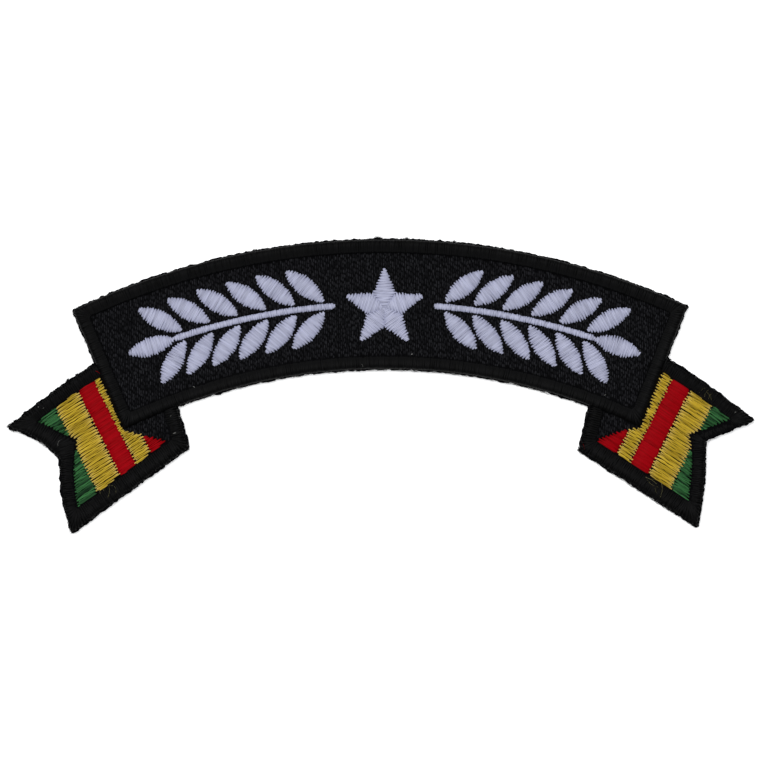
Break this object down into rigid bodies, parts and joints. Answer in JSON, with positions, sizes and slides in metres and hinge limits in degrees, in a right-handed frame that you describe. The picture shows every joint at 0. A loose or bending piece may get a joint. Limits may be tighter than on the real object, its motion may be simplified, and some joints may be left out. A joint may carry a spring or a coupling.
{
  "type": "rocker patch",
  "caption": "Arched embroidered rocker patch with a satin border, swallow-tailed striped ribbon ends, and a star between laurel sprays.",
  "frame": {"origin": "middle of the patch's outline, seen from the front, on its flat back", "axes": "+X along the patch's length towards the wearer's left, +Y towards the top of the arch, +Z out of the embroidered face"},
  "size_m": [0.1015, 0.0402, 0.0019],
  "materials": {
    "twill": "black cotton twill",
    "border_thread": "black satin stitch",
    "white_thread": "white satin stitch",
    "yellow_thread": "gold yellow satin stitch",
    "red_thread": "red satin stitch",
    "green_thread": "dark green satin stitch"
  },
  "bodies": {
    "root": {"banner_border": "border_thread", "centre_star": "white_thread", "left_leaf_01": "white_thread", "left_leaf_02": "white_thread", "left_leaf_03": "white_thread", "left_leaf_04": "white_thread", "left_leaf_05": "white_thread", "left_leaf_06": "white_thread", "left_leaf_07": "white_thread", "left_leaf_08": "white_thread", "left_leaf_09": "white_thread", "left_leaf_10": "white_thread", "left_leaf_11": "white_thread", "left_leaf_12": "white_thread", "left_leaf_13": "white_thread", "left_stem": "white_thread", "left_stripe_green_lower": "green_thread", "left_stripe_green_upper": "green_thread", "left_stripe_red_inner": "red_thread", "left_stripe_red_outer": "red_thread", "left_stripe_yellow_inner": "yellow_thread", "left_stripe_yellow_outer": "yellow_thread", "left_tail_border": "border_thread", "right_leaf_01": "white_thread", "right_leaf_02": "white_thread", "right_leaf_03": "white_thread", "right_leaf_04": "white_thread", "right_leaf_05": "white_thread", "right_leaf_06": "white_thread", "right_leaf_07": "white_thread", "right_leaf_08": "white_thread", "right_leaf_09": "white_thread", "right_leaf_10": "white_thread", "right_leaf_11": "white_thread", "right_leaf_12": "white_thread", "right_leaf_13": "white_thread", "right_stem": "white_thread", "right_stripe_green_lower": "green_thread", "right_stripe_green_upper": "green_thread", "right_stripe_red_inner": "red_thread", "right_stripe_red_outer": "red_thread", "right_stripe_yellow_inner": "yellow_thread", "right_stripe_yellow_outer": "yellow_thread", "right_tail_border": "border_thread", "twill_ground": "twill"}
  },
  "joints": []
}
